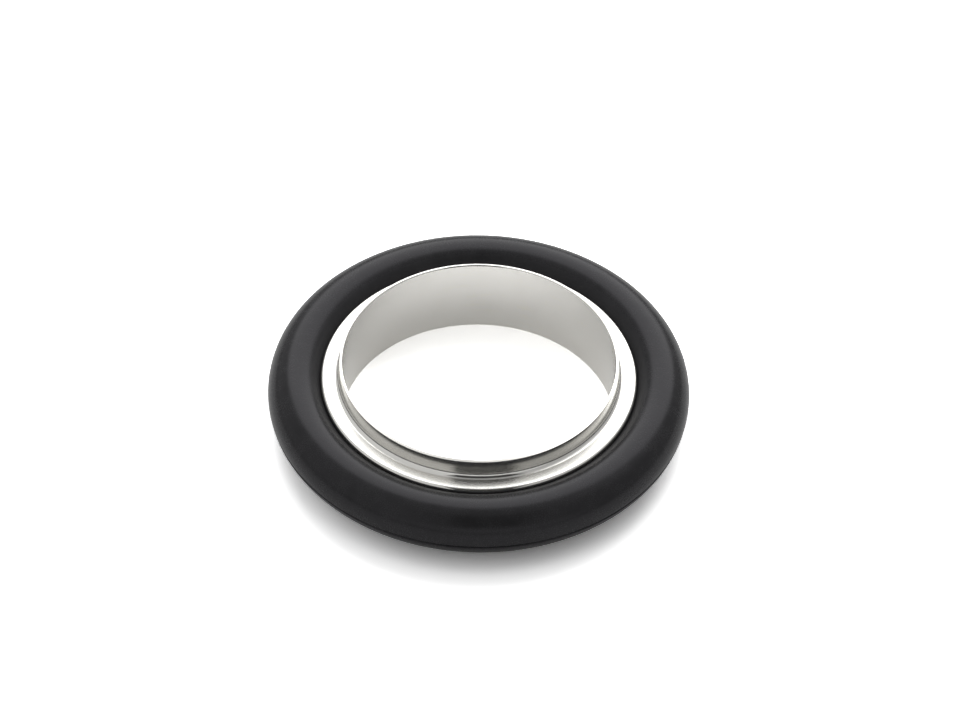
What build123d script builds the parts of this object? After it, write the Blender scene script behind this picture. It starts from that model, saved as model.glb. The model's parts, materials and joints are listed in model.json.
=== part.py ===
from build123d import *
import math
import os

# Centering ring with its O-ring, for a DN 25 small-flange (KF) vacuum joint. Millimetres.
# The axis of the ring is Z, and the origin is on it, half way between the two pilot rims.
# The part is the same above and below the plane z = 0.

# --- ring: driving sizes ---
pilot_diameter = 25.65  # outside of the two pilots, which drop into 26.2 mm flange recesses
pilot_wall = 0.325  # leaves a clear way of 25 mm through the ring
pilot_projection = 1.9  # how far a pilot stands above its land
rib_height = 4.0  # from land to land: the gap left between two clamped flanges
seat_floor = 1.175  # metal between the line of the pilots and the bottom of the seat
lip_band = 0.38  # height of the band round each lip, between its land and the seat

# --- ring: edges ---
rim_inner_round = 0.1  # on the mouth of the bore
rim_outer_round = 0.05  # burr taken off the outside of a rim
pilot_root_round = 0.45  # fillet where a pilot stands on a land
lip_round = 0.28  # outer edge of each land, as far as the lip's band has room for it
seat_edge_round = 0.05  # burr taken off where the seat meets a lip

# --- O-ring ---
cord_diameter = 5.3  # section of the O-ring
seat_clearance = 0.07  # left between the O-ring and the seat that it is stretched into

# --- worked out from the sizes above ---
pilot_radius = pilot_diameter / 2
bore_radius = pilot_radius - pilot_wall
ring_height = rib_height + 2 * pilot_projection

cord_radius = cord_diameter / 2
seat_radius = pilot_radius + seat_floor  # at the bottom of the seat
seat_arc_radius = cord_radius + seat_clearance
cord_circle_radius = seat_radius + seat_arc_radius  # from the axis to the middle of the O-ring's section

# The lips stand where the seat's arc has climbed to the bottom of their bands.
lip_bottom = rib_height / 2 - lip_band
lip_fillet = min(lip_round, 0.8 * lip_band)
rib_radius = cord_circle_radius - math.sqrt(seat_arc_radius**2 - lip_bottom**2)

tolerance = 1e-4


def circles_at(part, radius, height):
    """The circular edges of a turned part that have this radius, at z = height and z = -height."""
    edges = part.edges().filter_by(GeomType.CIRCLE)
    edges = edges.filter_by(lambda edge: abs(edge.radius - radius) < tolerance)
    return edges.filter_by(lambda edge: abs(abs(edge.center().Z) - height) < tolerance)


# --- centering ring: one turning ---
with BuildPart() as centering_ring:
    with BuildSketch(Plane.XZ):
        # The tube that ends in the two pilots.
        with Locations(((bore_radius + pilot_radius) / 2, 0)):
            Rectangle(pilot_radius - bore_radius, ring_height)
        # The rib round its middle.
        with Locations(((bore_radius + rib_radius) / 2, 0)):
            Rectangle(rib_radius - bore_radius, rib_height)
        # The seat: an arc about the middle of the O-ring's section, so the two stay evenly apart.
        with Locations((cord_circle_radius, 0)):
            Circle(seat_arc_radius, mode=Mode.SUBTRACT)
    revolve(axis=Axis.Z)

    fillet(circles_at(centering_ring, pilot_radius, rib_height / 2), pilot_root_round)
    fillet(circles_at(centering_ring, rib_radius, rib_height / 2), lip_fillet)
    fillet(circles_at(centering_ring, rib_radius, lip_bottom), seat_edge_round)
    fillet(circles_at(centering_ring, pilot_radius, ring_height / 2), rim_outer_round)
    fillet(circles_at(centering_ring, bore_radius, ring_height / 2), rim_inner_round)

centering_ring.part.label = "centering_ring"

# --- O-ring: one moulding, stretched over a lip into the seat ---
with BuildPart() as o_ring:
    with BuildSketch(Plane.XZ):
        with Locations((cord_circle_radius, 0)):
            Circle(cord_radius)
    revolve(axis=Axis.Z)

o_ring.part.label = "o_ring"

# --- files ---
os.makedirs("parts", exist_ok=True)
export_step(centering_ring.part, "parts/centering_ring.step")
export_step(o_ring.part, "parts/o_ring.step")
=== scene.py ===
import json
import math
from collections import namedtuple

import bpy
import numpy as np
from bpy.props import FloatProperty, FloatVectorProperty, IntProperty, PointerProperty
from bpy.types import Operator, Panel, PropertyGroup
from mathutils import Matrix, Vector

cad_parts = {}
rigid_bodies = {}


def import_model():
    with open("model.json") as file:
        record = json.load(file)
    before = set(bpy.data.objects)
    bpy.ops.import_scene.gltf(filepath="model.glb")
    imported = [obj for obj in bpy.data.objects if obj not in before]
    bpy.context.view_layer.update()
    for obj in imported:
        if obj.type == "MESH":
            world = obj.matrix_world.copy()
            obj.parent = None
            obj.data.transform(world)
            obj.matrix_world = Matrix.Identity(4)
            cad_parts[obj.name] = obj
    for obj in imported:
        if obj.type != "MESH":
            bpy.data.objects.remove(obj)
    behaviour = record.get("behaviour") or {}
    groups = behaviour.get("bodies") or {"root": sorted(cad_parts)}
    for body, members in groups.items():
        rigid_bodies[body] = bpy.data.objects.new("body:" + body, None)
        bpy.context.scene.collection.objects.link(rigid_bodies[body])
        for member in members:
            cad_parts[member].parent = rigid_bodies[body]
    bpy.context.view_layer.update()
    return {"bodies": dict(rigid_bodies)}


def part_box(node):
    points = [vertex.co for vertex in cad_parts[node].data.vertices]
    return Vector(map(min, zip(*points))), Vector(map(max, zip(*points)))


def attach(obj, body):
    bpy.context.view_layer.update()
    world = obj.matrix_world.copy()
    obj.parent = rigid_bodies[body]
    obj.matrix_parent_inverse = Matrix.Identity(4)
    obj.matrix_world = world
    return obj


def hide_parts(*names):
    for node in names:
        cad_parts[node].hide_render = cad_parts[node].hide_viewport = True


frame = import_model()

bl_info = {
    "name": "Centering Ring",
    "version": (1, 0, 0),
    "blender": (4, 5, 0),
    "location": "View3D > Sidebar > Centering Ring",
    "description": "A turned vacuum centering ring, its O-ring and a plain studio round them",
    "category": "Object",
}

MM = 0.001
TURN = 2.0 * math.pi

RING_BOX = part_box("centering_ring")
O_RING_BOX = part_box("o_ring")
BODY = next(iter(frame["bodies"]))

# The UV map of both pieces: share of a turn, and share of the section's length.
UNROLLED = "unrolled"

# Nearly all of a noise lies between these two values.
NOISE_MIDDLE = (0.3, 0.7)

# How upright a normal is where the walls' roughness passes into the lands'.
WALL_TO_LAND = (0.97, 0.99)

# Distances from the axis between which the O-ring's rubbed skin passes into its shine.
OUT_OF_RUBBING = (14.7 * MM, 15.7 * MM)

# Distances from the axis between which one ring of floor passes into the next. Each ring's colour
# is lifted by its own share in view, which paints light and shade on the floor: painted light
# inside the bore, painted shade under the O-ring, and painted light on the outer part of the ring's
# shadow, so that the contact shadow is darker and shorter than the light makes it.
INTO_BORE = (4.0 * MM, 8.5 * MM)
UNDER_O_RING = (13.0 * MM, 16.5 * MM)
INTO_SHADOW = (16.5 * MM, 19.5 * MM)
OUT_OF_SHADOW = (22.0 * MM, 30.0 * MM)

FLOOR_HALF_SIDE = 2.0

# A flat panel of light, as the ring sees it: where it lies, which way its width runs, its width
# and height on a plane at distance 1, and half the breadth of its soft edge there.
LightPanel = namedtuple("LightPanel", "aim across width height edge")
SIDEWAYS = (1.0, 0.0, 0.0)
RIGHT_FRONT = LightPanel((0.72, -0.45, 0.62), (1.0, 1.4, 0.0), width=1.1, height=1.2, edge=0.2)
RIGHT_HIGH = LightPanel((0.52, 0.24, 0.82), (0.24, -0.52, 0.0), width=0.5, height=0.45, edge=0.2)
LOW_FRONT = LightPanel((0.0, -1.0, 0.06), SIDEWAYS, width=2.4, height=0.66, edge=0.1)
OVERHEAD = LightPanel((0.05, 0.0, 1.0), SIDEWAYS, width=0.36, height=0.7, edge=0.05)
DARK_GEAR = LightPanel((0.072, -0.6225, 0.7826), SIDEWAYS, width=0.64, height=0.911, edge=0.02)

# The soft box is round: where it lies, and half the breadth of its soft edge in radians.
SOFTBOX_AIM = Vector((0.09, 0.738, 0.669)).normalized()
SOFTBOX_EDGE = 0.05

# Heights in the room, as the sine of the angle above the horizon: the low light fades out by
# ROOM_LOW_TOP, and the skirting between the two ends of SKIRTING_FADE.
ROOM_LOW_TOP = 0.25
SKIRTING_FADE = (0.06, 0.12)


def length(name, description, default):
    """A property that holds a length in metres."""
    return FloatProperty(
        name=name,
        description=description,
        default=default,
        unit="LENGTH",
        subtype="DISTANCE",
        precision=5,
    )


def angle(name, description, degrees):
    """A property that holds an angle, given here in degrees."""
    return FloatProperty(
        name=name,
        description=description,
        default=math.radians(degrees),
        unit="ROTATION",
        subtype="ANGLE",
    )


def share(name, description, default, soft_max=1.0):
    """A property that holds a plain number, with a slider from nothing to its usual most."""
    return FloatProperty(
        name=name,
        description=description,
        default=default,
        soft_min=0.0,
        soft_max=soft_max,
        subtype="FACTOR",
    )


def colour(name, description, default):
    """A property that holds a linear colour."""
    return FloatVectorProperty(
        name=name,
        description=description,
        default=default,
        size=3,
        subtype="COLOR",
        min=0.0,
        max=1.0,
    )


def steps(default):
    """A property that holds the number of steps in one turn round the axis."""
    return IntProperty(
        name="Steps around", description="Faces round the axis", default=default, min=48
    )


# ---------------------------------------------------------------- settings


class RingSettings(PropertyGroup):
    """Sizes and finish of the turned ring."""

    bore_radius: length("Bore radius", "Radius of the clear way through the ring", 12.5 * MM)
    pilot_radius: length("Pilot radius", "Outside radius of both pilots", 12.825 * MM)
    rim_height: length("Rim height", "From the middle plane to a pilot's rim", RING_BOX[1].z)
    land_height: length("Land height", "From the middle plane to a land", 2.0 * MM)
    rib_radius: length("Rib radius", "Outside radius of the lips", RING_BOX[1].x)
    mouth_chamfer: length("Mouth chamfer", "Leg of the chamfer on the mouth of the bore", 0.07 * MM)
    rim_outer_round: length("Rim edge", "Burr taken off the outside of a rim", 0.03 * MM)
    rim_slope: angle("Rim slope", "How far a rim falls away from the mouth of the bore", 15.0)
    lead_in_radius: length(
        "Lead-in radius", "Easing of a pilot's outside towards its rim", 8.0 * MM
    )
    lead_in_angle: angle("Lead-in angle", "Slope that the easing reaches at the rim", 6.0)
    root_fillet: length("Root fillet", "Fillet where a pilot stands on a land", 0.5 * MM)
    crown_radius: length("Crown radius", "Easing of a land's outer margin", 4.0 * MM)
    crown_angle: angle("Crown angle", "Slope that the margin reaches at the lip", 5.0)
    lip_round: length("Lip round", "Outer edge of a land", 0.34 * MM)
    seat_edge_round: length("Seat edge", "Burr taken off where the seat meets a lip", 0.05 * MM)
    seat_radius: length("Seat radius", "Radius at the bottom of the seat", 14.0 * MM)
    steps_around: steps(512)
    metal: colour("Metal", "Reflected colour of the stainless steel", (0.72, 0.71, 0.68))
    wall_roughness: share("Wall roughness", "Roughness left by turning along the axis", 0.12)
    land_roughness: share("Land roughness", "Roughness left by facing across the lands", 0.21)
    anisotropy: share(
        "Anisotropy", "How far a highlight is drawn out across the tool marks", 1.0
    )
    mark_depth: length("Mark depth", "Depth of the tool marks", 0.0003 * MM)


class ORingSettings(PropertyGroup):
    """Sizes and finish of the moulded O-ring."""

    cord_radius: length("Cord radius", "Radius of the O-ring's section", O_RING_BOX[1].z)
    circle_radius: length(
        "Circle radius",
        "From the axis to the middle of the section",
        O_RING_BOX[1].x - O_RING_BOX[1].z,
    )
    parting_angle: angle(
        "Parting angle", "How far the outer parting line lies below the equator", 10.5
    )
    parting_depth: length("Parting depth", "Depth of the trimmed parting line", 0.25 * MM)
    parting_width: length("Parting width", "Width of the trimmed parting line", 0.18 * MM)
    steps_around: steps(640)
    rubber: colour("Rubber", "Colour of the elastomer", (0.0170, 0.0168, 0.0176))
    sheen: colour("Sheen", "Colour of the skin's reflection", (0.95, 0.93, 1.0))
    roughness: share("Roughness", "Roughness of the moulded skin", 0.26)
    rubbing: share(
        "Rubbing", "Roughness added beside the lips, where stretching rubbed the skin", 0.35
    )
    gloss: share("Gloss", "Strength of the skin's reflection", 0.178)


class StudioSettings(PropertyGroup):
    """Camera, floor and light."""

    lens: FloatProperty(
        name="Lens",
        description="Focal length in millimetres",
        default=296.24,
        min=10.0,
        unit="CAMERA",
        subtype="DISTANCE_CAMERA",
    )
    distance: length(
        "Distance", "From the camera to the plane through the ring's centre", 726.1 * MM
    )
    elevation: angle("Elevation", "Height of the camera above the horizon", 45.343)
    roll: angle("Roll", "Turn of the camera about its line of sight", 0.988)
    aside: length("Aside", "How far the camera stands to the right", 0.073 * MM)
    raised: length("Raised", "How far the camera is raised across its line of sight", 2.875 * MM)
    floor_colour: colour("Floor", "Colour of the floor", (0.84, 0.84, 0.84))
    floor_seen: share(
        "Floor seen", "How far open floor is lifted towards white in view", 1.9, 4.0
    )
    # Painted light and shade on the floor: the lifts below differ ring by ring about the axis, so
    # that they paint light inside the bore and on the outer part of the ring's shadow, and paint
    # shade under the O-ring.
    floor_in_bore: share(
        "Floor in bore", "How far the floor inside the bore is lifted in view", 3.1, 4.0
    )
    floor_contact: share(
        "Floor at contact", "How far the floor under the O-ring is lifted in view", 1.55, 4.0
    )
    floor_shaded: share(
        "Floor in shadow", "How far the floor in the ring's shadow is lifted in view", 2.85, 4.0
    )
    # Painted light in reflections: the floor inside the bore is mirrored brighter than the floor
    # outside the ring.
    floor_mirrored: share(
        "Floor mirrored", "How far the floor inside the bore is lifted in reflections", 1.77, 4.0
    )
    outside_mirrored: share(
        "Outside mirrored",
        "How far the floor outside the ring is lifted in reflections",
        1.15,
        4.0,
    )
    room_left: share("Room, left", "Light from the room on the left", 0.8, 2.0)
    room_right: share("Room, right", "Light from the room on the right", 0.5, 2.0)
    right_front: share("Right front", "Light from above the right front", 0.5, 2.0)
    right_high: share(
        "Right high", "Light from the right, high above the soft box's edge", 1.1, 2.0
    )
    low_front: share("Low front", "Light from low in front of the ring", 1.0, 2.0)
    overhead: share("Overhead", "Light from straight above", 0.42, 2.0)
    room_low: share("Room, low", "Light from the room at the height of the floor", 0.7, 2.0)
    skirting: share(
        "Skirting", "Light from the dark skirting round the foot of the room", 0.08, 2.0
    )
    softbox_angle: angle(
        "Soft box radius", "Angle from the middle of the soft box to its edge", 31.0
    )
    softbox: share("Soft box", "Light from the soft box behind the ring", 3.0, 6.0)
    dark: share("Dark gear", "Light from the dark gear above the front", 0.05)


# ---------------------------------------------------------------- shapes


def run(start, end, count):
    """A straight run of a profile, with points that crowd towards both ends.

    Point k is start + (end - start) * (1 - cos(pi k / count)) / 2, and the last one is left out.
    Its normal is the direction of travel turned a quarter turn to the left.
    """
    share_along = (1.0 - np.cos(np.pi * np.arange(count) / count)) / 2.0
    start, end = np.array(start, float), np.array(end, float)
    points = start + share_along[:, None] * (end - start)
    along = (end - start) / np.linalg.norm(end - start)
    normals = np.tile((-along[1], along[0]), (count, 1))
    return points, normals


def arc(centre, radius, start, end, count):
    """An arc of a profile from one angle to another, its last point left out.

    Each point is the centre plus the radius times (cos a, sin a). The surface faces away from the
    centre where the arc runs clockwise, and towards it where it runs the other way.
    """
    a = start + (end - start) * np.arange(count) / count
    spoke = np.stack((np.cos(a), np.sin(a)), axis=1)
    return np.array(centre) + radius * spoke, -np.sign(end - start) * spoke


def ring_section(s):
    """Half of the ring's section, from mid-bore over the rim to the bottom of the seat.

    Coordinates are (distance from the axis, height). Straight runs and tangent arcs follow one
    another: bore, mouth chamfer, rim, rim edge, lead-in, pilot, root fillet, land, crowned margin,
    lip, band, burr and seat. The seat is an arc about the middle of the O-ring's section. The last
    number of each run or arc is the number of its steps.
    """
    quarter, half = math.pi / 2.0, math.pi
    mouth, edge, root = s.mouth_chamfer, s.rim_outer_round, s.root_fillet
    lip, burr, crown = s.lip_round, s.seat_edge_round, s.crown_radius

    # The rim falls outwards from the top of the mouth's chamfer. Below its edge, the pilot swells
    # from the lead-in angle to its full radius along one long arc. The edge is a small arc tangent
    # to both.
    slope, swell = s.rim_slope, s.lead_in_radius
    leaning = np.array((math.sin(slope), math.cos(slope)))
    rim_start = np.array((s.bore_radius + mouth, s.rim_height))
    edge_reach = s.pilot_radius - swell + (swell - edge) * math.cos(s.lead_in_angle)
    edge_height = rim_start[1] - ((edge_reach - rim_start[0]) * leaning[0] + edge) / leaning[1]
    rim_end = np.array((edge_reach, edge_height)) + edge * leaning
    swell_height = edge_height - (swell - edge) * math.sin(s.lead_in_angle)

    # The lip's arc touches the outer radius, and the margin's arc runs into it at the crown angle.
    lip_reach = s.rib_radius - lip
    lip_height = s.land_height - crown + (crown - lip) * math.cos(s.crown_angle)
    margin_start = lip_reach - (crown - lip) * math.sin(s.crown_angle)
    land_slope = quarter - s.crown_angle

    # The seat's circle goes through the bottom of the seat. The burr's arc touches both the
    # circle and the lip's band.
    seat_circle = bpy.context.scene.o_ring_settings.circle_radius
    seat_arc = seat_circle - s.seat_radius
    burr_reach = s.rib_radius - burr
    burr_height = math.sqrt((seat_arc + burr) ** 2 - (seat_circle - burr_reach) ** 2)
    burr_angle = math.atan2(-burr_height, seat_circle - burr_reach)

    parts = (
        run((s.bore_radius, 0.0), (s.bore_radius, s.rim_height - mouth), 12),
        run((s.bore_radius, s.rim_height - mouth), rim_start, 6),
        run(rim_start, rim_end, 6),
        arc((edge_reach, edge_height), edge, quarter - slope, s.lead_in_angle, 6),
        arc((s.pilot_radius - swell, swell_height), swell, s.lead_in_angle, 0.0, 8),
        run((s.pilot_radius, swell_height), (s.pilot_radius, s.land_height + root), 6),
        arc((s.pilot_radius + root, s.land_height + root), root, half, half + quarter, 12),
        run((s.pilot_radius + root, s.land_height), (margin_start, s.land_height), 6),
        arc((margin_start, s.land_height - crown), crown, quarter, land_slope, 8),
        arc((lip_reach, lip_height), lip, land_slope, 0.0, 8),
        run((s.rib_radius, lip_height), (s.rib_radius, burr_height), 2),
        arc((burr_reach, burr_height), burr, 0.0, burr_angle, 3),
        arc((seat_circle, 0.0), seat_arc, half + burr_angle, half, 8),
    )
    points = np.concatenate([p for p, _ in parts] + [[(s.seat_radius, 0.0)]])
    normals = np.concatenate([n for _, n in parts] + [[(1.0, 0.0)]])
    return points, normals


def whole_section(points, normals):
    """Closes a half section with its mirror image below the middle plane, met once at each end."""
    flip = np.array((1.0, -1.0))
    return (
        np.concatenate((points, points[-2:0:-1] * flip)),
        np.concatenate((normals, normals[-2:0:-1] * flip)),
    )


def o_ring_surface(s):
    """The O-ring's surface as two grids, one of distances from the axis and one of heights.

    At angle a round the section and turn t round the axis, a point stands at circle + r cos a from
    the axis and at height r sin a, where r is the cord's radius less the groove of the parting
    lines. The groove is a bell curve of the distance d along the skin to the nearer line:
    depth * u * exp(-(d / w)^2), where w is half the width. It was trimmed unevenly, so its depth
    follows a slow and a quick wave round the ring:
    u = 0.8 + 0.12 sin(7 t + 1) + 0.08 sin(23 t + 2).
    """
    outer_line = -math.degrees(s.parting_angle)
    lines = np.array((outer_line, outer_line + 180.0))

    def off_line(degrees):
        """The angle from each place on the section to the nearer parting line, in degrees."""
        return np.min(np.abs((degrees[:, None] - lines + 180.0) % 360.0 - 180.0), axis=1)

    # Steps round the section, in degrees: coarse, and fine as far as fine_reach from a line.
    coarse_step, fine_step, fine_reach = 5.0, 0.5, 5.0
    coarse = np.arange(0.0, 360.0, coarse_step)
    coarse = coarse[off_line(coarse) > fine_reach + fine_step]
    fine = np.arange(-fine_reach, fine_reach + fine_step / 2.0, fine_step)
    degrees = np.sort(np.concatenate((coarse, ((fine[:, None] + lines) % 360.0).ravel())))

    a = np.radians(degrees)
    t = TURN * np.arange(s.steps_around) / s.steps_around
    from_line = np.radians(off_line(degrees)) * s.cord_radius
    groove = np.exp(-((from_line / (s.parting_width / 2.0)) ** 2))
    uneven = 0.8 + 0.12 * np.sin(7.0 * t + 1.0) + 0.08 * np.sin(23.0 * t + 2.0)
    radius = s.cord_radius - s.parting_depth * uneven[:, None] * groove[None, :]
    return s.circle_radius + radius * np.cos(a), radius * np.sin(a)


def swept_mesh(name, reach, height, normals=None):
    """A closed surface from two grids, each with one row per step round the axis.

    Point (i, j) stands at reach[i, j] from the axis and at height[i, j], in the direction of turn
    i / rows. Both directions of the grid close on themselves, so there is no seam and no pole. The
    UV map holds the share of a turn and the share of the section's length. Normals, where they are
    given, are one pair (outwards, upwards) for each column.
    """
    rows, columns = reach.shape
    turn = TURN * np.arange(rows) / rows
    spin = np.stack((np.cos(turn), np.sin(turn)), axis=1)[:, None, :]
    points = np.concatenate((reach[..., None] * spin, height[..., None]), axis=2)

    i, j = np.meshgrid(np.arange(rows), np.arange(columns), indexing="ij")
    i_next, j_next = (i + 1) % rows, (j + 1) % columns
    corners = np.stack(
        (
            i * columns + j,
            i * columns + j_next,
            i_next * columns + j_next,
            i_next * columns + j,
        ),
        axis=2,
    ).reshape(-1, 4)

    step = np.hypot(np.roll(reach[0], -1) - reach[0], np.roll(height[0], -1) - height[0])
    along = np.concatenate(((0.0,), np.cumsum(step))) / step.sum()
    u = np.stack((i, i, i + 1, i + 1), axis=2) / rows
    v = np.stack((along[j], along[j + 1], along[j + 1], along[j]), axis=2)

    mesh = bpy.data.meshes.new(name)
    mesh.vertices.add(rows * columns)
    mesh.vertices.foreach_set("co", points.astype(np.float32).ravel())
    mesh.loops.add(corners.size)
    mesh.loops.foreach_set("vertex_index", corners.astype(np.int32).ravel())
    mesh.polygons.add(len(corners))
    mesh.polygons.foreach_set("loop_start", np.arange(0, corners.size, 4, dtype=np.int32))
    mesh.polygons.foreach_set("use_smooth", np.ones(len(corners), dtype=bool))
    mesh.update(calc_edges=True)
    uv = mesh.uv_layers.new(name=UNROLLED)
    uv.data.foreach_set("uv", np.stack((u, v), axis=-1).astype(np.float32).ravel())
    if normals is not None:
        outwards = normals[None, :, :1] * spin
        upwards = np.broadcast_to(normals[None, :, 1:], (rows, columns, 1))
        facing = np.concatenate((outwards, upwards), axis=2)
        mesh.normals_split_custom_set_from_vertices(facing.reshape(-1, 3))
    if mesh.validate():
        raise RuntimeError(f"the mesh of {name} had faults")
    return mesh


def add_piece(name, mesh, material, node_name):
    """Puts a finished mesh into the scene in place of a CAD node."""
    piece = bpy.data.objects.new(name, mesh)
    bpy.context.scene.collection.objects.link(piece)
    mesh.materials.append(material)
    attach(piece, BODY)
    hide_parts(node_name)


# ---------------------------------------------------------------- materials


def add_node(tree, kind, inputs=None, **settings):
    """Adds a node, sets its options, and fills its inputs with values or links."""
    made = tree.nodes.new(kind)
    for key, value in settings.items():
        setattr(made, key, value)
    for key, value in (inputs or {}).items():
        if isinstance(value, bpy.types.NodeSocket):
            tree.links.new(value, made.inputs[key])
        else:
            made.inputs[key].default_value = value
    return made


def calculate(tree, operation, *values):
    """A Math node, whose result is returned."""
    return add_node(
        tree, "ShaderNodeMath", dict(enumerate(values)), operation=operation
    ).outputs[0]


def vector_math(tree, operation, result, inputs):
    """A Vector Math node, whose named result is returned."""
    return add_node(tree, "ShaderNodeVectorMath", inputs, operation=operation).outputs[result]


def remap(tree, value, low, high, to_low, to_high, smooth=False):
    """A Map Range node, whose result is returned."""
    return add_node(
        tree,
        "ShaderNodeMapRange",
        {"Value": value, "From Min": low, "From Max": high, "To Min": to_low, "To Max": to_high},
        interpolation_type="SMOOTHSTEP" if smooth else "LINEAR",
    ).outputs["Result"]


def noise(tree, place, scale, detail, roughness=0.6):
    """A Noise Texture node, whose value is returned. The scale is in cells per unit of place."""
    return add_node(
        tree,
        "ShaderNodeTexNoise",
        {"Vector": place, "Scale": scale, "Detail": detail, "Roughness": roughness},
    ).outputs["Fac"]


def spread(tree, value, least, most):
    """Spreads the middle of a noise over the range from least to most."""
    return remap(tree, value, *NOISE_MIDDLE, least, most)


def distance_from_axis(tree, place):
    """The length of a place's horizontal part."""
    flat = vector_math(tree, "MULTIPLY", "Vector", {0: place, 1: (1.0, 1.0, 0.0)})
    return vector_math(tree, "LENGTH", "Value", {0: flat})


def new_material(name):
    """An empty node material with its Principled shader."""
    material = bpy.data.materials.new(name)
    material.use_nodes = True
    return material, material.node_tree, material.node_tree.nodes["Principled BSDF"]


def turned_steel(s, section_length):
    """Stainless steel straight from the lathe, its highlights drawn out across the tool marks."""
    material, tree, shader = new_material("turned stainless steel")
    place = add_node(tree, "ShaderNodeTexCoord")
    unrolled = add_node(tree, "ShaderNodeUVMap", uv_map=UNROLLED).outputs["UV"]
    across = add_node(tree, "ShaderNodeSeparateXYZ", {"Vector": unrolled}).outputs["Y"]
    spot = add_node(tree, "ShaderNodeSeparateXYZ", {"Vector": place.outputs["Object"]})

    def marks(pitch, drift, detail):
        """Noise that changes once a pitch across the marks, and once a drift along them."""
        where = add_node(
            tree,
            "ShaderNodeCombineXYZ",
            {
                "X": calculate(tree, "MULTIPLY", spot.outputs["X"], 1.0 / drift),
                "Y": calculate(tree, "MULTIPLY", spot.outputs["Y"], 1.0 / drift),
                "Z": calculate(tree, "MULTIPLY", across, section_length / pitch),
            },
        ).outputs["Vector"]
        return noise(tree, where, scale=1.0, detail=detail)

    fine = marks(pitch=0.035 * MM, drift=9.0 * MM, detail=2.0)
    broad = marks(pitch=0.35 * MM, drift=6.0 * MM, detail=3.0)
    cloud = noise(tree, place.outputs["Object"], scale=420.0, detail=4.0, roughness=0.55)

    tone = calculate(
        tree, "ADD", spread(tree, broad, -0.03, 0.03), spread(tree, cloud, -0.025, 0.025)
    )
    shade = add_node(
        tree,
        "ShaderNodeHueSaturation",
        {"Color": (*s.metal, 1.0), "Value": calculate(tree, "ADD", tone, 1.0)},
    )
    tree.links.new(shade.outputs["Color"], shader.inputs["Base Color"])

    normal = add_node(tree, "ShaderNodeSeparateXYZ", {"Vector": place.outputs["Normal"]})
    upright = calculate(tree, "ABSOLUTE", normal.outputs["Z"])
    rough = calculate(
        tree,
        "ADD",
        remap(tree, upright, *WALL_TO_LAND, s.wall_roughness, s.land_roughness),
        remap(tree, fine, 0.25, 0.75, -0.01, 0.01),
    )
    tree.links.new(rough, shader.inputs["Roughness"])

    bump = add_node(
        tree, "ShaderNodeBump", {"Height": fine, "Strength": 0.3, "Distance": s.mark_depth}
    )
    tree.links.new(bump.outputs["Normal"], shader.inputs["Normal"])
    tangent = add_node(tree, "ShaderNodeTangent", direction_type="UV_MAP", uv_map=UNROLLED)
    tree.links.new(tangent.outputs["Tangent"], shader.inputs["Tangent"])
    shader.inputs["Metallic"].default_value = 1.0
    shader.inputs["Anisotropic"].default_value = s.anisotropy
    # A quarter of a turn, from along the marks to across them.
    shader.inputs["Anisotropic Rotation"].default_value = 0.25
    return material


def moulded_rubber(s):
    """Black elastomer with the soft sheen and the fine grain of a moulded skin."""
    material, tree, shader = new_material("moulded black elastomer")
    place = add_node(tree, "ShaderNodeTexCoord").outputs["Object"]
    skin = noise(tree, place, scale=9000.0, detail=2.0)
    cloud = noise(tree, place, scale=700.0, detail=4.0)
    bloom = noise(tree, place, scale=160.0, detail=3.0)

    tone = calculate(tree, "ADD", spread(tree, cloud, 0.85, 1.15), spread(tree, bloom, -0.1, 0.1))
    shade = add_node(tree, "ShaderNodeHueSaturation", {"Color": (*s.rubber, 1.0), "Value": tone})
    tree.links.new(shade.outputs["Color"], shader.inputs["Base Color"])

    # The skin is dull where stretching it over a lip has rubbed it, and shines again further out.
    from_axis = distance_from_axis(tree, place)
    rubbed = remap(tree, from_axis, *OUT_OF_RUBBING, s.rubbing, 0.0, smooth=True)
    rough = calculate(
        tree,
        "ADD",
        spread(tree, cloud, s.roughness - 0.03, s.roughness + 0.03),
        spread(tree, skin, -0.03, 0.03),
    )
    tree.links.new(calculate(tree, "ADD", rough, rubbed), shader.inputs["Roughness"])

    bump = add_node(
        tree, "ShaderNodeBump", {"Height": skin, "Strength": 0.3, "Distance": 0.002 * MM}
    )
    tree.links.new(bump.outputs["Normal"], shader.inputs["Normal"])
    shader.inputs["Specular IOR Level"].default_value = s.gloss
    shader.inputs["Specular Tint"].default_value = (*s.sheen, 1.0)
    return material


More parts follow.
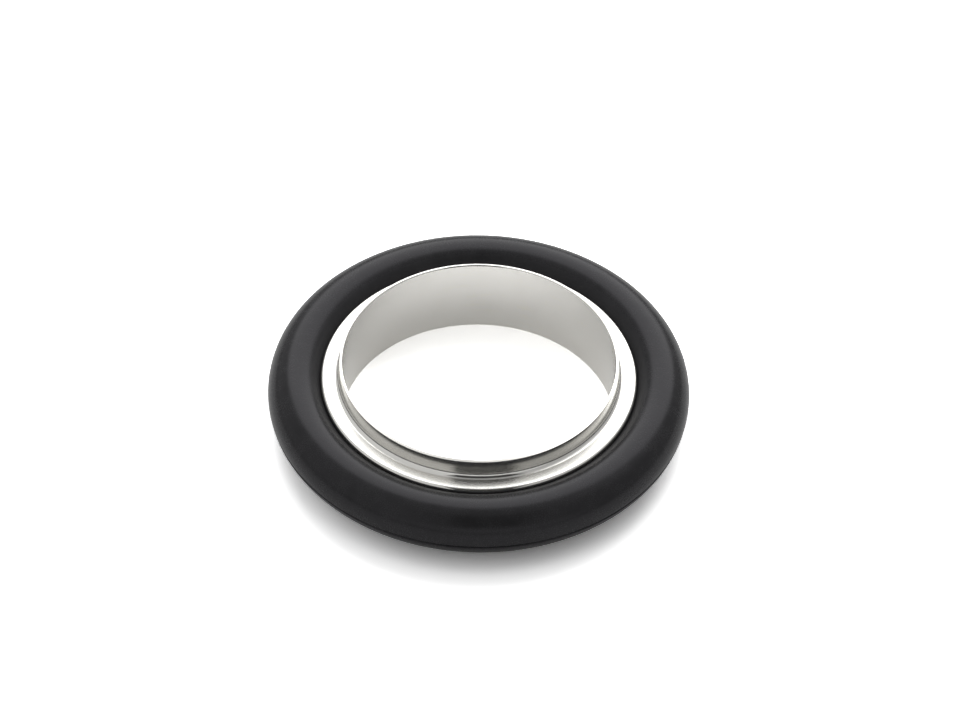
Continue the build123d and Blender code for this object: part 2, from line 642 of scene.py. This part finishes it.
def floor_finish(s):
    """Smooth matt card with a faint unevenness, lit up to white where it is seen or mirrored. The
    lift differs ring by ring about the axis and paints light and shade on the floor: painted light
    inside the bore and on the outer part of the ring's shadow, painted shade under the O-ring, and
    painted light in reflections of the floor inside the bore.
    """
    material = bpy.data.materials.new("pale matt card")
    material.use_nodes = True
    tree = material.node_tree
    tree.nodes.remove(tree.nodes["Principled BSDF"])
    place = add_node(tree, "ShaderNodeTexCoord").outputs["Object"]
    from_axis = distance_from_axis(tree, place)

    # Outwards from the axis: open floor, floor inside the bore with painted light, floor under the
    # O-ring with painted shade, its shadow with painted light on its outer part, and open floor
    # again.
    seen = remap(tree, from_axis, *INTO_BORE, s.floor_seen, s.floor_in_bore, smooth=True)
    seen = remap(tree, from_axis, *UNDER_O_RING, seen, s.floor_contact, smooth=True)
    seen = remap(tree, from_axis, *INTO_SHADOW, seen, s.floor_shaded)
    seen = remap(tree, from_axis, *OUT_OF_SHADOW, seen, s.floor_seen, smooth=True)
    # Painted light in reflections: the floor inside the bore is mirrored brighter than the floor
    # outside the ring.
    mirrored = remap(tree, from_axis, *UNDER_O_RING, s.floor_mirrored, s.outside_mirrored)

    path = add_node(tree, "ShaderNodeLightPath")

    def gained(ray, lift):
        """What a lift adds to a level of 1 for one kind of ray."""
        return calculate(
            tree, "MULTIPLY", path.outputs[ray], calculate(tree, "SUBTRACT", lift, 1.0)
        )

    in_view, in_reflections = gained("Is Camera Ray", seen), gained("Is Glossy Ray", mirrored)
    lifted = calculate(tree, "ADD", in_view, in_reflections)
    fibre = noise(tree, place, scale=900.0, detail=3.0)
    level = calculate(
        tree, "MULTIPLY", calculate(tree, "ADD", lifted, 1.0), spread(tree, fibre, 0.995, 1.005)
    )
    shade = vector_math(tree, "SCALE", "Vector", {0: tuple(s.floor_colour), "Scale": level})
    card = add_node(tree, "ShaderNodeBsdfDiffuse", {"Color": shade})
    tree.links.new(card.outputs["BSDF"], tree.nodes["Material Output"].inputs["Surface"])
    return material


# ---------------------------------------------------------------- studio


def panel_share(tree, direction, panel):
    """How much of a flat panel lies in a direction: 1 on it, 0 off it, with soft edges.

    The direction is projected onto a plane at distance 1 along the panel's aim, and its two
    coordinates there are compared with half the width and half the height.
    """

    def along(axis):
        return vector_math(tree, "DOT_PRODUCT", "Value", {0: direction, 1: tuple(axis)})

    aim, across = Vector(panel.aim).normalized(), Vector(panel.across)
    across = (across - aim * across.dot(aim)).normalized()
    ahead = along(aim)
    just_ahead = 0.01
    result = calculate(tree, "GREATER_THAN", ahead, just_ahead)
    for axis, half in ((across, panel.width / 2.0), (aim.cross(across), panel.height / 2.0)):
        off = calculate(tree, "ABSOLUTE", calculate(tree, "DIVIDE", along(axis), ahead))
        inside = remap(tree, off, half - panel.edge, half + panel.edge, 1.0, 0.0, smooth=True)
        result = calculate(tree, "MULTIPLY", result, inside)
    return result


def studio_light(s):
    """A pale room with a large round soft box behind the ring, and dark gear above the front.

    The light is one level for each direction. The room comes first, and each panel after it lies
    over what is there already.
    """
    world = bpy.data.worlds.new("studio")
    world.use_nodes = True
    tree = world.node_tree
    direction = add_node(tree, "ShaderNodeTexCoord").outputs["Generated"]
    heading = add_node(tree, "ShaderNodeSeparateXYZ", {"Vector": direction})
    to_right, above_horizon = heading.outputs["X"], heading.outputs["Z"]

    def lay_over(level, covered, value):
        """The level moved towards a value by the share that is covered."""
        change = calculate(tree, "SUBTRACT", value, level)
        return calculate(tree, "MULTIPLY_ADD", covered, change, level)

    def cover(level, panel, value):
        """The level with a soft-edged panel over it."""
        return lay_over(level, panel_share(tree, direction, panel), value)

    level = remap(tree, to_right, -1.0, 1.0, s.room_left, s.room_right)
    level = remap(tree, above_horizon, 0.0, ROOM_LOW_TOP, s.room_low, level, smooth=True)
    level = cover(level, RIGHT_FRONT, s.right_front)
    level = cover(level, RIGHT_HIGH, s.right_high)
    level = cover(level, LOW_FRONT, s.low_front)
    level = remap(tree, above_horizon, *SKIRTING_FADE, s.skirting, level, smooth=True)
    level = cover(level, OVERHEAD, s.overhead)
    towards = vector_math(tree, "DOT_PRODUCT", "Value", {0: direction, 1: tuple(SOFTBOX_AIM)})
    disc_edge = math.cos(s.softbox_angle + SOFTBOX_EDGE)
    disc_full = math.cos(s.softbox_angle - SOFTBOX_EDGE)
    disc = remap(tree, towards, disc_edge, disc_full, 0.0, 1.0, smooth=True)
    level = lay_over(level, disc, s.softbox)
    level = cover(level, DARK_GEAR, s.dark)
    tree.links.new(level, tree.nodes["Background"].inputs["Strength"])
    tree.nodes["Background"].inputs["Color"].default_value = (1.0, 1.0, 1.0, 1.0)
    bpy.context.scene.world = world


def place_camera(s):
    """Aims the camera at the ring's centre, then rolls it and moves it across its line of sight."""
    cos_e, sin_e = math.cos(s.elevation), math.sin(s.elevation)
    cos_r, sin_r = math.cos(s.roll), math.sin(s.roll)
    back = Vector((0.0, -cos_e, sin_e))
    right = Vector((1.0, 0.0, 0.0))
    up = Vector((0.0, sin_e, cos_e))
    axes = (right * cos_r + up * sin_r, up * cos_r - right * sin_r, back)
    stand = back * s.distance + right * s.aside + up * s.raised
    camera = bpy.data.objects.new("camera", bpy.data.cameras.new("camera"))
    bpy.context.scene.collection.objects.link(camera)
    camera.matrix_world = Matrix.Translation(stand) @ Matrix(axes).transposed().to_4x4()
    camera.data.sensor_width = 36.0
    camera.data.lens = s.lens
    camera.data.clip_start = 0.01
    camera.data.clip_end = 20.0
    bpy.context.scene.camera = camera


def place_floor(s):
    """A square card under the lower rim."""
    half, level = FLOOR_HALF_SIDE, RING_BOX[0].z
    mesh = bpy.data.meshes.new("floor")
    mesh.from_pydata(
        [(-half, -half, level), (half, -half, level), (half, half, level), (-half, half, level)],
        [],
        [(0, 1, 2, 3)],
    )
    floor = bpy.data.objects.new("floor", mesh)
    bpy.context.scene.collection.objects.link(floor)
    mesh.materials.append(floor_finish(s))


# ---------------------------------------------------------------- operators


class CENTERING_OT_turn_ring(Operator):
    """Build the turned stainless ring"""

    bl_idname = "centering.turn_ring"
    bl_label = "Turn the ring"

    def execute(self, context):
        s = context.scene.ring_settings
        points, normals = whole_section(*ring_section(s))
        reach = np.tile(points[:, 0], (s.steps_around, 1))
        height = np.tile(points[:, 1], (s.steps_around, 1))
        mesh = swept_mesh("ring_turning", reach, height, normals)
        section_length = np.linalg.norm(np.roll(points, -1, axis=0) - points, axis=1).sum()
        material = turned_steel(s, section_length)
        add_piece("ring_turning", mesh, material, "centering_ring")
        return {"FINISHED"}


class CENTERING_OT_mould_o_ring(Operator):
    """Build the moulded elastomer O-ring"""

    bl_idname = "centering.mould_o_ring"
    bl_label = "Mould the O-ring"

    def execute(self, context):
        s = context.scene.o_ring_settings
        mesh = swept_mesh("o_ring_moulding", *o_ring_surface(s))
        add_piece("o_ring_moulding", mesh, moulded_rubber(s), "o_ring")
        return {"FINISHED"}


class CENTERING_OT_set_stage(Operator):
    """Set the floor, the light and the camera"""

    bl_idname = "centering.set_stage"
    bl_label = "Set the stage"

    def execute(self, context):
        s = context.scene.studio_settings
        place_floor(s)
        studio_light(s)
        place_camera(s)
        context.scene.view_settings.view_transform = "Standard"
        return {"FINISHED"}


class CENTERING_PT_build(Panel):
    """Buttons and sizes in the sidebar"""

    bl_idname = "CENTERING_PT_build"
    bl_label = "Centering Ring"
    bl_space_type = "VIEW_3D"
    bl_region_type = "UI"
    bl_category = "Centering Ring"

    def draw(self, context):
        for operator, settings in (
            (CENTERING_OT_turn_ring, context.scene.ring_settings),
            (CENTERING_OT_mould_o_ring, context.scene.o_ring_settings),
            (CENTERING_OT_set_stage, context.scene.studio_settings),
        ):
            box = self.layout.box()
            box.operator(operator.bl_idname)
            for key in settings.__annotations__:
                box.prop(settings, key)


CLASSES = (
    RingSettings,
    ORingSettings,
    StudioSettings,
    CENTERING_OT_turn_ring,
    CENTERING_OT_mould_o_ring,
    CENTERING_OT_set_stage,
    CENTERING_PT_build,
)


def register():
    """Registers the classes and hangs the settings on the scene."""
    for made in CLASSES:
        bpy.utils.register_class(made)
    bpy.types.Scene.ring_settings = PointerProperty(type=RingSettings)
    bpy.types.Scene.o_ring_settings = PointerProperty(type=ORingSettings)
    bpy.types.Scene.studio_settings = PointerProperty(type=StudioSettings)


def unregister():
    """Takes the settings off the scene and the classes out again."""
    del bpy.types.Scene.studio_settings
    del bpy.types.Scene.o_ring_settings
    del bpy.types.Scene.ring_settings
    for made in reversed(CLASSES):
        bpy.utils.unregister_class(made)


def main():
    """Builds everything."""
    register()
    bpy.ops.centering.turn_ring()
    bpy.ops.centering.mould_o_ring()
    bpy.ops.centering.set_stage()


if __name__ == "__main__":
    main()
